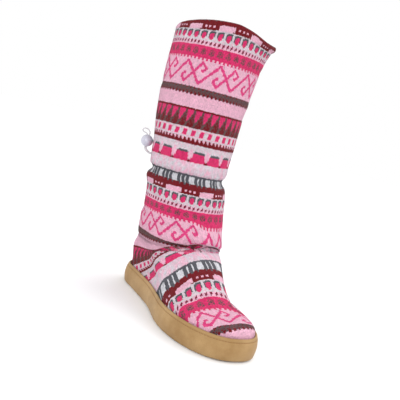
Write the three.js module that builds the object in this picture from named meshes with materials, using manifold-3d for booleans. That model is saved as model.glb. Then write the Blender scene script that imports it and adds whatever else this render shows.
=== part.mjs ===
// A right slipper sock: a tall knitted boot with a rolled collar, a cinched ankle and a suede platform sole.
// Millimetres. +X points to the toe, +Y to the inner side of the foot, +Z up.
// The origin is on the floor, straight under the shaft's axis.
import * as THREE from "three";
import { mergeVertices } from "three/addons/utils/BufferGeometryUtils.js";
import Module from "manifold-3d";

const wasm = await Module();
wasm.setup();

// Driving sizes
const soleLength = 262;
const ballHalfWidth = 50;
const soleHeight = 25;
const toeSpring = 1.2;
const archLift = 1.2;
const soleCorner = 3;
const soleBulge = 1.5;
const rimThickness = 2.4;
const rimInset = 1.8;
const trayDepth = 8;
const insoleThickness = 4;
const knitWall = 2.6;
const hemExtra = 1.6;
const hemDepth = 15;
const instepHeight = 78;
const collarHeight = 343;
const collarRadius = 57;
const shaftBack = 54;
const shaftSide = 4;
const cordDiameter = 1.6;
const lockDiameter = 15.5;
const clearance = 0.3;

// Facets
const ringPoints = 56;
const ballPoints = 28;
const cordSides = 8;
const cordSteps = 72;

// Widths of the sole's outline along its length, as shares of half the ball width: outer and inner side
const outlineTable = [
  { at: 0.0, outer: 0.72, inner: 0.68 },
  { at: 0.15, outer: 0.72, inner: 0.685 },
  { at: 0.28, outer: 0.73, inner: 0.645 },
  { at: 0.4, outer: 0.763, inner: 0.655 },
  { at: 0.52, outer: 0.862, inner: 0.76 },
  { at: 0.62, outer: 0.967, inner: 0.885 },
  { at: 0.7, outer: 1.0, inner: 0.9 },
  { at: 0.8, outer: 1.0, inner: 0.865 },
  { at: 1.0, outer: 1.0, inner: 0.865 },
];
// Where the outline turns into its round heel and toe, as shares of the length
const roundEnds = { heel: 0.13, toeOuter: 0.68, toeInner: 0.71 };
const toeTipSide = 0.02;
// Places along the length where the forefoot starts to lean inwards, the arch is, and the toe spring starts
const lean = { start: 0.6 };
const arch = { start: 0.37, end: 0.57 };
const spring = { start: 0.86 };
// 2 makes the toe an oval, and more makes it squarer
const toeSquare = { outer: 2.15, inner: 2.65 };

const mix = (a, b, t) => a + (b - a) * t;
const clamp = (v, low, high) => Math.min(high, Math.max(low, v));
const ease = (t) => t * t * (3 - 2 * t);

// A table with named columns, one row for each section
const table = (names, rows) => rows.map((row) => Object.fromEntries(names.map((name, i) => [name, row[i]])));

// Smooth value of one column of a table at a place along it
function column(rows, key, at) {
  let i = 0;
  while (i < rows.length - 2 && rows[i + 1].at < at) i += 1;
  const row = (k) => rows[clamp(k, 0, rows.length - 1)];
  const span = row(i + 1).at - row(i).at;
  const t = clamp((at - row(i).at) / span, 0, 1);
  const slope = (k) => (row(k + 1)[key] - row(k - 1)[key]) / (row(k + 1).at - row(k - 1).at || 1);
  const t2 = t * t;
  const t3 = t2 * t;
  return (
    (2 * t3 - 3 * t2 + 1) * row(i)[key] +
    (t3 - 2 * t2 + t) * span * slope(i) +
    (3 * t2 - 2 * t3) * row(i + 1)[key] +
    (t3 - t2) * span * slope(i + 1)
  );
}

// Share of the full width that the round heel and toe leave at a place along the foot
function endFactor(at, outer, taper = 1) {
  const toeStart = Math.min(taper, outer ? roundEnds.toeOuter : roundEnds.toeInner);
  const square = outer ? toeSquare.outer : toeSquare.inner;
  const heel = clamp((roundEnds.heel - at) / roundEnds.heel, 0, 1);
  const toe = clamp((at - toeStart) / (1 - toeStart), 0, 1);
  return Math.sqrt(1 - heel * heel) * (1 - toe ** square) ** (1 / square);
}

// Half width of the outline on one side, as a share of half the ball width
function footWidth(at, outer, taper = 1) {
  return column(outlineTable, outer ? "outer" : "inner", at) * endFactor(at, outer, taper);
}

// Sideways shift of the outline's middle, which leans to the inner side at the toe
function footMiddle(at) {
  return ballHalfWidth * toeTipSide * ease(clamp((at - lean.start) / (1 - lean.start), 0, 1));
}

// The turn angle, place along the foot and side of each point of a ring, from the heel round the outer side
const turns = Array.from({ length: ringPoints }, (_, i) => {
  const angle = (2 * Math.PI * i) / ringPoints;
  return { at: (1 - Math.cos(angle)) / 2, sine: Math.sin(angle), outer: Math.sin(angle) >= 0 };
});

// The sole's outline, moved out or in along its own normals
function outline(offset) {
  const plain = turns.map(({ at, outer }) => {
    const half = ballHalfWidth * footWidth(at, outer);
    const middle = footMiddle(at) - shaftSide;
    return new THREE.Vector2(at * soleLength - shaftBack, middle + (outer ? -half : half));
  });
  return plain.map((point, i) => {
    const before = plain[(i + ringPoints - 1) % ringPoints];
    const after = plain[(i + 1) % ringPoints];
    const along = after.clone().sub(before).normalize();
    return new THREE.Vector2(point.x + along.y * offset, point.y - along.x * offset);
  });
}

// Turns rings of equal length into a closed surface. Strips join each ring to the next.
// A closed loft joins the last ring to the first, and an open one gets a cap of bars across each end ring.
function loft(rings, closed = false) {
  const count = rings[0].length;
  const positions = rings.flat().flatMap((p) => [p.x, p.y, p.z]);
  const index = [];
  const strips = closed ? rings.length : rings.length - 1;
  for (let r = 0; r < strips; r += 1) {
    const low = r * count;
    const high = ((r + 1) % rings.length) * count;
    for (let i = 0; i < count; i += 1) {
      const j = (i + 1) % count;
      index.push(low + i, low + j, high + j, low + i, high + j, high + i);
    }
  }
  const face = (base, down, a, b, c) => index.push(base + a, base + (down ? c : b), base + (down ? b : c));
  const cap = (base, down) => {
    for (let i = 0; i < count / 2; i += 1) {
      const across = (count - i) % count;
      if (i > 0) face(base, down, i, i + 1, across);
      if (i < count / 2 - 1) face(base, down, i + 1, count - i - 1, across);
    }
  };
  if (!closed) {
    cap(0, true);
    cap((rings.length - 1) * count, false);
  }
  const geometry = new THREE.BufferGeometry();
  geometry.setAttribute("position", new THREE.Float32BufferAttribute(positions, 3));
  geometry.setIndex(index);
  return geometry;
}

const lift = (ring, height) => ring.map((p) => new THREE.Vector3(p.x, p.y, height));

// The sole

// Height of the underside above the floor: flat at heel and forefoot, lifted under the arch and the toe
function underside(x) {
  const at = (x + shaftBack) / soleLength;
  const along = clamp((at - arch.start) / (arch.end - arch.start), 0, 1);
  const toe = clamp((at - spring.start) / (1 - spring.start), 0, 1);
  return archLift * Math.sin(Math.PI * along) ** 2 + toeSpring * toe * toe;
}

// The sole's wall from its foot to its rim: how far it stands out of the outline, and its height
const wallTable = [
  { out: -1, corner: true, rise: 0 },
  { out: -0.45, corner: true, rise: 0.13 },
  { out: -0.12, corner: true, rise: 0.45 },
  { out: 0.5, rise: 0.26 },
  { out: 0.8, rise: 0.5 },
  { out: 0.2, rise: 0.78 },
  { out: -0.8, rise: 0.95 },
];

const trayFloor = soleHeight - trayDepth;
const rimTop = -rimInset - 0.35 * rimThickness;
const rimInside = -rimInset - rimThickness;
const rimSlope = 0.15 * rimThickness;

function makeSole() {
  const rings = wallTable.map(({ out, corner, rise }) => {
    const offset = corner ? out * soleCorner : out * soleBulge;
    const height = corner ? rise * soleCorner : rise * soleHeight;
    return outline(offset).map((p) => {
      const sink = underside(p.x) * (1 - height / soleHeight);
      return new THREE.Vector3(p.x, p.y, height + sink);
    });
  });
  rings.push(lift(outline(rimTop), soleHeight));
  rings.push(lift(outline(rimInside), soleHeight - rimSlope));
  rings.push(lift(outline(rimInside), trayFloor));
  return loft(rings);
}

// The insole, inside the upper on the tray's floor
const upperBase = rimInside - clearance;

const insoleRound = 0.3;

function makeInsole() {
  const edge = upperBase - knitWall - clearance;
  const low = trayFloor + clearance;
  const round = insoleRound * insoleThickness;
  return loft([
    lift(outline(edge), low),
    lift(outline(edge), low + insoleThickness - round),
    lift(outline(edge - round), low + insoleThickness),
  ]);
}

// The upper

// Rings of the foot, from the sole's rim to the fold at the ankle.
// reach: front point, 0 at the fold and 1 at the toe. rise: its height, as a share of the instep's.
// heelOut: how far the heel stands out of the base, and heelRise its height, as shares of the same.
// heel, outer and inner: widths at the heel and on each side of the forefoot, as shares of the base's.
// taper: place along the foot where the toe starts to round. round: 0 follows the outline and 1 is an oval.
const footRows = table(
  ["reach", "rise", "heelOut", "heelRise", "heel", "outer", "inner", "taper", "round"],
  [
    [1.003, 0.09, 0.01, 0.07, 1.0, 1.01, 0.985, 0.7, 0],
    [0.99, 0.155, 0.015, 0.14, 1.0, 1.0, 0.9, 0.67, 0],
    [0.95, 0.185, 0.02, 0.2, 1.01, 0.98, 0.79, 0.63, 0],
    [0.875, 0.22, 0.02, 0.26, 1.02, 0.96, 0.7, 0.58, 0],
    [0.745, 0.28, 0.02, 0.33, 1.03, 0.94, 0.66, 0.53, 0],
    [0.595, 0.43, 0.015, 0.41, 1.05, 0.93, 0.7, 0.5, 0.04],
    [0.445, 0.64, 0.01, 0.5, 1.07, 0.94, 0.79, 0.5, 0.12],
    [0.3, 0.86, 0.0, 0.59, 1.09, 0.96, 0.89, 0.5, 0.3],
    [0.17, 0.96, -0.005, 0.67, 1.11, 0.98, 0.97, 0.5, 0.55],
    [0.07, 0.98, -0.01, 0.74, 1.12, 1.0, 1.0, 0.5, 0.8],
  ],
);

// Rings of the shaft, from the fold at the ankle to the rim of the collar.
// height: share of the way from the instep to the collar. tip: how much lower the back is, as a share of the
// instep's height.
// front, back, outer and inner: reach from the shaft's axis, as shares of the collar's radius.
// square: 2 makes the front half an oval, and more makes it boxier.
const shaftRows = table(
  ["height", "tip", "front", "back", "outer", "inner", "square"],
  [
    [-0.01, 0.1, 1.13, 0.86, 0.74, 0.93, 3.2],
    [0.012, 0.09, 1.19, 0.855, 0.76, 0.97, 3.2],
    [0.04, 0.07, 1.2, 0.845, 0.77, 0.93, 3.0],
    [0.08, 0.04, 1.12, 0.83, 0.765, 0.95, 2.7],
    [0.15, 0, 1.02, 0.81, 0.77, 0.97, 2.3],
    [0.23, 0, 0.98, 0.83, 0.81, 0.95, 2.1],
    [0.27, 0, 0.95, 0.87, 0.87, 0.925, 2],
    [0.29, 0, 0.915, 0.845, 0.85, 0.89, 2],
    [0.304, 0, 0.83, 0.77, 0.775, 0.81, 2],
    [0.318, 0, 0.82, 0.76, 0.765, 0.795, 2],
    [0.334, 0, 0.87, 0.845, 0.85, 0.83, 2],
    [0.36, 0, 0.875, 0.86, 0.865, 0.84, 2],
    [0.45, 0, 0.9, 0.885, 0.89, 0.885, 2],
    [0.58, 0, 0.915, 0.95, 0.965, 0.905, 2],
    [0.7, 0, 0.945, 0.98, 1.0, 0.935, 2],
    [0.86, 0, 1.01, 0.985, 0.985, 1.03, 2],
    [0.94, 0, 1.05, 0.98, 0.965, 1.1, 2],
  ],
);

// The hem, rolled over at the rim. share: height within the hem. The reaches are as in the shaft's table.
const hemRows = [
  { share: 0.0, front: 1.075, back: 0.975, outer: 0.955, inner: 1.15 },
  { share: 0.12, front: 1.11, back: 0.99, outer: 0.965, inner: 1.2 },
  { share: 0.5, front: 1.12, back: 0.985, outer: 0.955, inner: 1.225 },
  { share: 0.85, front: 1.1, back: 0.96, outer: 0.93, inner: 1.2 },
];
// How far the rim sinks from its highest point, round the collar from the heel by the outer side
const rimTable = [
  { at: 0.0, sink: 0.6 },
  { at: 0.17, sink: 0.68 },
  { at: 0.27, sink: 0.45 },
  { at: 0.36, sink: 0.15 },
  { at: 0.45, sink: 0.0 },
  { at: 0.55, sink: 0.08 },
  { at: 0.65, sink: 0.45 },
  { at: 0.75, sink: 0.6 },
  { at: 0.88, sink: 0.58 },
  { at: 1.0, sink: 0.6 },
];

const creaseFront = shaftRows[0].front * collarRadius;
const instepRise = instepHeight - soleHeight;

// One ring of the foot
function footRing(row) {
  const base = outline(upperBase);
  const heelX = base[0].x;
  const toeX = base[ringPoints / 2].x;
  const front = { x: mix(creaseFront, toeX, row.reach), z: soleHeight + row.rise * instepRise };
  const back = { x: heelX - row.heelOut * instepRise, z: soleHeight + row.heelRise * instepRise };
  return turns.map(({ at, sine, outer }) => {
    const x = mix(back.x, front.x, at);
    const side = outer ? -1 : 1;
    const ankle = outer ? shaftRows[0].outer : shaftRows[0].inner;
    const scale = mix(row.heel, outer ? row.outer : row.inner, ease(clamp((at - 0.1) / 0.5, 0, 1)));
    const inset = upperBase * endFactor(at, outer, row.taper);
    const trimmed = ballHalfWidth * footWidth(at, outer, row.taper) + inset;
    const power = at > 0.5 ? 2 / shaftRows[0].square : 1;
    const oval = ankle * collarRadius * Math.abs(sine) ** power;
    const middle = mix(footMiddle(at) - shaftSide, 0, row.round);
    const y = middle + side * mix(trimmed * scale, oval, row.round);
    return new THREE.Vector3(x, y, mix(back.z, front.z, at));
  });
}

// One level ring round the shaft's axis
function ovalRing(row, square, heightAt) {
  return turns.map(({ at, sine }, i) => {
    const along = 2 * at - 1;
    const reach = along < 0 ? row.back : row.front;
    const power = along < 0 ? 1 : 2 / square;
    const side = sine > 0 ? row.outer : row.inner;
    const x = Math.sign(along) * Math.abs(along) ** power * reach * collarRadius;
    const y = -Math.sign(sine) * Math.abs(sine) ** power * side * collarRadius;
    return new THREE.Vector3(x, y, heightAt(at, i / ringPoints));
  });
}

// One ring of the shaft
function shaftRing(row) {
  const height = mix(instepHeight, collarHeight - hemDepth, row.height);
  return ovalRing(row, row.square, (at) => height - row.tip * instepHeight * (1 - at));
}

// One ring of the hem, lower where the rim sinks
function hemRing(row) {
  const start = collarHeight - hemDepth;
  return ovalRing(row, 2, (_, round) => start + row.share * hemDepth * (1 - column(rimTable, "sink", round)));
}

// Outward normals of a stack of rings
function ringNormals(rings) {
  return rings.map((ring, r) =>
    ring.map((_, i) => {
      const count = ring.length;
      const above = rings[Math.min(r + 1, rings.length - 1)][i];
      const below = rings[Math.max(r - 1, 0)][i];
      const next = ring[(i + 1) % count];
      const last = ring[(i + count - 1) % count];
      const up = above.clone().sub(below);
      const round = next.clone().sub(last);
      return round.cross(up).normalize();
    }),
  );
}

// Height of the rim's rounded top, as a share of its thickness
const rimCrown = 0.3;

function makeUpper() {
  const base = outline(upperBase);
  const foot = footRows.map(footRing);
  const shaft = shaftRows.map(shaftRing);
  const hem = hemRows.map(hemRing);
  const outer = [
    lift(base, trayFloor + clearance),
    lift(base, soleHeight),
    ...foot,
    ...shaft,
    ...hem,
  ];
  const normals = ringNormals(outer);
  const inner = outer.map((ring, r) =>
    ring.map((p, i) => {
      const hemShare = clamp((r - outer.length + hem.length + 2) / 2, 0, 1);
      const inward = normals[r][i].clone();
      if (r <= 1 || hemShare > 0) inward.setZ(0).normalize();
      return p.clone().addScaledVector(inward, -(knitWall + hemExtra * hemShare));
    }),
  );
  const edge = outer[outer.length - 1].map((p, i) => {
    const opposite = inner[inner.length - 1][i];
    const middle = p.clone().add(opposite).multiplyScalar(0.5);
    middle.z += rimCrown * p.distanceTo(opposite);
    return middle;
  });
  return loft([...outer, edge, ...inner.reverse()], true);
}

// A closed geometry as a solid that can be cut
function solid(geometry) {
  const bare = new THREE.BufferGeometry();
  bare.setAttribute("position", geometry.getAttribute("position"));
  bare.setIndex(geometry.index);
  const merged = mergeVertices(bare, 1e-4);
  return new wasm.Manifold(
    new wasm.Mesh({
      numProp: 3,
      vertProperties: merged.attributes.position.array,
      triVerts: new Uint32Array(merged.index.array),
    }),
  );
}

function geometryOf(body) {
  const mesh = body.getMesh();
  const geometry = new THREE.BufferGeometry();
  geometry.setAttribute("position", new THREE.BufferAttribute(mesh.vertProperties, 3));
  geometry.setIndex(new THREE.BufferAttribute(mesh.triVerts, 1));
  geometry.computeVertexNormals();
  return geometry;
}

// The cord lock: a ball with a slot through it for the two strands of the drawcord
const lockSlot = { wide: 2 * cordDiameter + 6 * clearance, deep: cordDiameter + 3 * clearance };

function makeLock() {
  const ball = new THREE.SphereGeometry(lockDiameter / 2, ballPoints, ballPoints / 2);
  ball.rotateX(Math.PI / 2);
  const slot = new THREE.BoxGeometry(lockSlot.wide, lockSlot.deep, 2 * lockDiameter);
  return geometryOf(solid(ball).subtract(solid(slot)));
}

// The drawcord leaves the shaft under the fold, outwards and to the back, and carries the lock above it
const cordTurn = THREE.MathUtils.degToRad(-117);
const cordHeight = 172;
const lockOut = 58.6;
const lockHeight = 186;
const strandApart = cordDiameter + clearance;

function makeCord() {
  const start = 0.876 * collarRadius;
  const half = strandApart / 2;
  const top = lockHeight + lockDiameter / 2;
  const foot = lockHeight - lockDiameter / 2;
  const points = [
    [start, -1.9, cordHeight],
    [start + 2.4, -1.9, cordHeight + 0.2],
    [lockOut - 2.6, -1.6, foot - 3.8],
    [lockOut - half, -0.6, foot - 1.2],
    [lockOut - half, 0, foot + 2],
    [lockOut - half, 0, lockHeight],
    [lockOut - half, 0, top - 1],
    [lockOut - 1.6, 0, top + 1.8],
    [lockOut - 0.6, 0, top + 4.8],
    [lockOut + 2.4, 0, top + 6.9],
    [lockOut + 6.4, 0, top + 6.7],
    [lockOut + 8.2, 0, top + 4.2],
    [lockOut + 6, 0, top + 2.3],
    [lockOut + 2.6, 0, top + 1.5],
    [lockOut + 1.1, 0, top - 0.8],
    [lockOut + half, 0, top - 3.4],
    [lockOut + half, 0, lockHeight],
    [lockOut + half, 0, foot + 1],
    [lockOut + 0.6, 0.7, foot - 2],
    [lockOut - 1.2, 1.7, foot - 4.6],
    [start + 3, 1.9, cordHeight - 0.6],
    [start, 1.9, cordHeight - 1],
  ];
  const path = new THREE.CatmullRomCurve3(points.map((point) => new THREE.Vector3(...point)));
  const radius = cordDiameter / 2;
  const corners = Array.from({ length: cordSides }, (_, i) => {
    const angle = (2 * Math.PI * i) / cordSides;
    return new THREE.Vector2(radius * Math.cos(angle), radius * Math.sin(angle));
  });
  const section = new THREE.Shape(corners);
  return new THREE.ExtrudeGeometry(section, { steps: cordSteps, extrudePath: path, bevelEnabled: false });
}

function finish(color, roughness, metalness = 0) {
  return new THREE.MeshStandardMaterial({ color, roughness, metalness });
}

function piece(name, geometry, material) {
  const mesh = new THREE.Mesh(geometry, material);
  mesh.name = name;
  return mesh;
}

const slipper = new THREE.Group();
slipper.add(piece("sole", makeSole(), finish(0xba9a6f, 0.9)));
slipper.add(piece("insole", makeInsole(), finish(0xe9dfd6, 0.95)));
slipper.add(piece("upper", makeUpper(), finish(0xe2a2ba, 0.95)));

// The cord and its lock stand in a group turned to where they leave the shaft
const toggle = new THREE.Group();
toggle.rotation.z = cordTurn;
toggle.add(piece("drawcord", makeCord(), finish(0xc4c2c4, 0.8)));
const lock = piece("cord_lock", makeLock(), finish(0xb0aab2, 0.25));
lock.position.set(lockOut, 0, lockHeight);
toggle.add(lock);
slipper.add(toggle);

export default slipper;
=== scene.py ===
"""A tall knitted slipper sock on a suede sole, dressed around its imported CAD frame."""
import math

import bpy
import numpy as np
from mathutils import Matrix, Vector
from mathutils.bvhtree import BVHTree


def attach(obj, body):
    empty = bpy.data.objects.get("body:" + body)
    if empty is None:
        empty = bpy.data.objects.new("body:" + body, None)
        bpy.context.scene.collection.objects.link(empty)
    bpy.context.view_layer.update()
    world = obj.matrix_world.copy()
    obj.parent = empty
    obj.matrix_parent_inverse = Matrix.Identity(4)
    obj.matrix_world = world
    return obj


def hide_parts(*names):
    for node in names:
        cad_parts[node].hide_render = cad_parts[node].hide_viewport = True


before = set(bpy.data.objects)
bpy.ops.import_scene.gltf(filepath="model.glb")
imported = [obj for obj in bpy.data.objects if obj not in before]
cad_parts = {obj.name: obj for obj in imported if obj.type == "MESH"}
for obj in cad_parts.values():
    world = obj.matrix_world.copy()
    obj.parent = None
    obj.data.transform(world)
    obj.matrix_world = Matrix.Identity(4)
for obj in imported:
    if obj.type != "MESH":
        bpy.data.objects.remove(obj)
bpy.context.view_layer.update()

# Lengths below are in millimetres, in the row frame, and MM turns them into metres
MM = 0.001
RNG = np.random.default_rng(7)
SHAFT_SIDE = 4.0
SIDE_WALES = 168
REPEAT_COURSES = 164
CHART_WALES = 32


def add_object(name, data):
    """A new object in the scene."""
    obj = bpy.data.objects.new(name, data)
    bpy.context.collection.objects.link(obj)
    return obj


# Camera

def make_camera():
    """The photograph's view: high on the outer side, rolled so that the leg leans to the right."""
    right = Vector((0.44112, 0.86549, 0.23737))
    up = Vector((-0.22304, -0.15047, 0.96313))
    back = right.cross(up).normalized()
    up = back.cross(right).normalized()
    place = Vector((667.97, -339.08, 223.90)) * MM
    data = bpy.data.cameras.new("camera")
    data.lens = 53.05
    data.sensor_width = 36
    camera = add_object("camera", data)
    turn = Matrix((right.normalized(), up, back)).transposed().to_4x4()
    camera.matrix_world = Matrix.Translation(place) @ turn
    bpy.context.scene.camera = camera


# Materials

def linear(hexcode):
    """A hex colour as linear RGB."""
    parts = [int(hexcode[i:i + 2], 16) / 255 for i in (1, 3, 5)]
    return [p / 12.92 if p <= 0.04045 else ((p + 0.055) / 1.055) ** 2.4 for p in parts]


class Nodes:
    """A short way to add and link the nodes of one material."""

    def __init__(self, name):
        self.material = bpy.data.materials.new(name)
        self.material.use_nodes = True
        self.tree = self.material.node_tree
        self.shader = self.tree.nodes["Principled BSDF"]

    def add(self, kind, settings=None, **inputs):
        node = self.tree.nodes.new("ShaderNode" + kind)
        for key, value in (settings or {}).items():
            setattr(node, key, value)
        for key, value in inputs.items():
            self.put(node, key, value)
        return node

    def put(self, node, key, value):
        name = key.replace("_", " ")
        slot = node.inputs[int(key[1:])] if key[1:].isdigit() else node.inputs[name]
        if isinstance(value, bpy.types.NodeSocket):
            self.tree.links.new(value, slot)
        else:
            slot.default_value = value

    def shade(self, **inputs):
        for key, value in inputs.items():
            self.put(self.shader, key, value)

    def math(self, operation, a, b=0.0):
        return self.add("Math", {"operation": operation}, i0=a, i1=b).outputs[0]

    def noise(self, place, scale, detail=3.0):
        node = self.add("TexNoise", Vector=place, Scale=scale, Detail=detail)
        return node.outputs[0]

    def mix(self, factor, a, b, blend="MIX"):
        node = self.add("Mix", {"data_type": "RGBA", "blend_type": blend}, i0=factor, i6=a, i7=b)
        return node.outputs[2]

    def ramp(self, value, low, high, to_low, to_high):
        node = self.add("MapRange", None, Value=value, From_Min=low, From_Max=high,
                        To_Min=to_low, To_Max=to_high)
        return node.outputs[0]

    def bump(self, height, distance, strength):
        node = self.add("Bump", None, Height=height, Distance=distance, Strength=strength)
        return node.outputs[0]

    def tint(self, colour, shade):
        """A colour made lighter and darker by a factor near one."""
        grey = self.add("CombineColor", None, i0=shade, i1=shade, i2=shade).outputs[0]
        return self.mix(1.0, colour, grey, "MULTIPLY")


def knit_material():
    """Yarn coloured stitch by stitch. Each stitch's two legs are rounded by a bump and by shade painted
    along their edges, and its fibres are fuzzy.
    """
    n = Nodes("knit yarn")
    place = n.add("TexCoord").outputs["Object"]
    colour = n.add("VertexColor", {"layer_name": "yarn"}).outputs["Color"]
    uv = n.add("UVMap", {"uv_map": "stitches"}).outputs[0]
    split = n.add("SeparateXYZ", None, Vector=uv)
    across = n.math("FRACT", split.outputs[0])
    middle = n.math("ABSOLUTE", n.math("SUBTRACT", across, 0.5))
    leg = n.math("ABSOLUTE", n.math("SUBTRACT", middle, 0.25))
    along = n.math("FRACT", n.math("ADD", split.outputs[1], n.math("MULTIPLY", middle, 1.3)))
    turn = n.math("ABSOLUTE", n.math("SUBTRACT", along, 0.5))
    round_leg = n.math("SUBTRACT", 1.0, n.math("POWER", n.math("MULTIPLY", leg, 4.0), 2.0))
    round_turn = n.math("SUBTRACT", 1.0, n.math("POWER", n.math("MULTIPLY", turn, 2.0), 2.0))
    height = n.math("MULTIPLY", round_leg, n.math("POWER", round_turn, 0.6))
    fibre = n.noise(place, 1900.0, 4.0)
    cloud = n.noise(place, 60.0, 3.0)
    height = n.math("ADD", height, n.math("MULTIPLY", fibre, 0.35))
    # Painted shade: the ramp darkens each stitch where its relief is low, at the legs' edges and between
    # courses, and lightens the crowns of the legs a little
    shade = n.ramp(height, 0.0, 1.2, 0.8, 1.07)
    shade = n.math("MULTIPLY", shade, n.ramp(cloud, 0.3, 0.7, 0.96, 1.04))
    shade = n.math("MULTIPLY", shade, n.ramp(fibre, 0.3, 0.7, 0.92, 1.08))
    n.shade(Base_Color=n.tint(colour, shade), Roughness=0.92,
            Sheen_Weight=0.06, Sheen_Roughness=0.5, Specular_IOR_Level=0.12,
            Normal=n.bump(height, 0.00035, 0.9))
    return n.material


# The knitting chart: one letter a stitch, wales across, courses from the collar down

YARNS = {
    "R": "#74161f",
    "M": "#7c1c38",
    "B": "#5f4a4c",
    "D": "#57575e",
    "H": "#d8326a",
    "L": "#dd4480",
    "P": "#e8b3c8",
    "W": "#d5cad1",
    "S": "#d3d2d8",
    "F": "#e0c5d1",
}


def across(row):
    """A chart row repeated to the full width of the chart."""
    return (row * CHART_WALES)[:CHART_WALES]


def strokes(field, yarn, height, lines):
    """A plain field with lines drawn on it, two stitches thick, that wrap round at the sides."""
    cells = [[field] * CHART_WALES for _ in range(height)]
    for (u0, v0), (u1, v1) in lines:
        steps = 3 * int(max(abs(u1 - u0), abs(v1 - v0))) + 1
        for t in np.linspace(0, 1, steps):
            u, v = u0 + (u1 - u0) * t, v0 + (v1 - v0) * t
            for side, below in ((0, 0), (1, 0), (0, 1), (1, 1)):
                row = min(max(int(v) + below, 0), height - 1)
                cells[row][(int(math.floor(u)) + side) % CHART_WALES] = yarn
    return ["".join(row) for row in cells]


def blocks_band():
    """Dark red with three light dots in each segment, and pale blocks between the segments."""
    return (
        ["R"] * 4
        + ["RR" + "P" * 13 + "R" * 17]
        + ["P" * 15 + "RRRPPRRPPRRPPRRRR"] * 2
        + ["P" * 15 + "R" * 17] * 2
        + ["P" * 13 + "R" * 19]
    )


def arches_band():
    """Grey arches on a pale field, with a pink heart that runs to a point below each."""
    return [
        "W", "WWDDDDDW", "WDDDDDDW", "WDDHHHDW", "WDHHHHDW", "WDHHHHDW", "WDHHHHDW",
        "WDHHHHWW", "WWHHHHWW", "WWWHHWWW", "PWWWWWWP",
    ]


def flowers_band():
    """Small stemmed flowers, dotted on hot pink."""
    return [
        "H", "H", "HHHHBHHH", "HHHBHBHH", "HHBHBHBH", "HHHBBBHH", "HHBHBHBH",
        "HHBBHBBH", "HHHHBHHH", "H", "H",
    ]


def scrolls_band():
    """Hot pink scrolls: a saw line, crossed by a diagonal with a hook at each end."""
    peak, trough = (0, 1.6), (15.4, 22.6)
    node = (7.7, 12.1)
    hook = [(0, 0), (7.2, -10.4), (11.4, -5.6), (8.8, -1.2), (8.2, -2.7)]
    upper = [(node[0] + u, node[1] + v) for u, v in hook]
    lower = [(node[0] - u, node[1] - v) for u, v in hook]
    saw = [(peak, trough), (trough, (CHART_WALES, peak[1]))]
    return strokes("P", "L", 27, saw + list(zip(upper, upper[1:])) + list(zip(lower, lower[1:])))


def spikes_band():
    """Grey-brown spikes that rise into hot pink from dark red trapezoids."""
    return (
        ["HHHBBHHH"] * 3 + ["HHHBRBHH", "HHBBBHHH", "HHBRBBHH", "HHBBRBHH", "HHBRRBHH", "HBBRBBHH"]
        + ["HBRBRRBH", "HBRRBRBH", "BBRRRRBH", "BRBRRBRB", "BBRRRRBB"]
        + ["BRRBRRRB", "BRRRRRRB", "BRBRRRBB", "RRRRRRRB"]
    )


def caps_band():
    """Hot pink blocks with a grey cap, joined below by dark red, on a flecked field."""
    return (
        ["F", "W", "WPWWPWWPWWPWWPWW", "W", "WPWWWPWWPWWWPWPP", "PWWWWWWWWWWWWWPP"]
        + ["PWWDDDDDDDDDWWPP", "PPDDDDDDDDDDDPPP"]
        + ["PPHHHHHHHHHHHPPP"] * 2 + ["PPHHHHHHHHHHHHPP"] * 2 + ["PHHHHHHHHHHHHHPP", "PHHHHHHHHHHHHHHP"]
        + ["RHHHHHHHHHHHHHHR", "RRHHHHHHHHHHHHRR"]
        + ["F"] * 3
    )


def chart():
    """All courses of the three repeats; each band has the wale where it starts in each repeat."""
    bands = [
        ((12, 12, 12), ["RRRRRRDRRRDDRRRD"] * 2),
        ((6, 6, 6), blocks_band()),
        ((6, 4, 3), arches_band()),
        ((1, 1, 1), ["W", "PPMP", "PMMP", "PMMP", "PMPP", "P"]),
        ((2, 1, 7), flowers_band()),
        ((3, 3, 3), ["HHHH", "HHPP", "HHPP"]),
        ((18, 21, 16), scrolls_band()),
        ((0, 2, 1), ["RRBB", "RBBB", "BBBB", "BBBR", "BRBB", "BBRR", "BBRR", "PPRR"]),
        ((0, 0, 0), ["P"] * 13),
        ((0, 0, 0), ["R", "R"]),
        ((5, 3, 3), spikes_band()),
        ((3, 6, 6), ["W", "P"] + ["WWHHHHWW"] * 6 + ["P", "W"]),
        ((0, 2, 2), ["RRPP", "RRPP", "RRRP", "R", "R", "R"]),
        ((4, 6, 6), caps_band()),
        ((0, 0, 0), ["F"] * 9),
        ((0, 0, 0), ["D", "D"]),
        ((11, 12, 12), ["SSSSSDDDSDDDSDDD"] * 7),
    ]
    rows = []
    for repeat in range(3):
        for starts, band in bands:
            rows += [np.roll(np.array(list(across(row))), starts[repeat]) for row in band]
    assert len(rows) == 3 * REPEAT_COURSES
    return np.array(rows)


# The course lines: where each course of the tube lies on the CAD upper

# course, height on the shaft
SHAFT_COURSES = [
    (29, 310.5), (70, 262.5), (91.5, 238), (127, 197.5), (155.5, 160), (193, 120), (234, 80),
]
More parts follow.
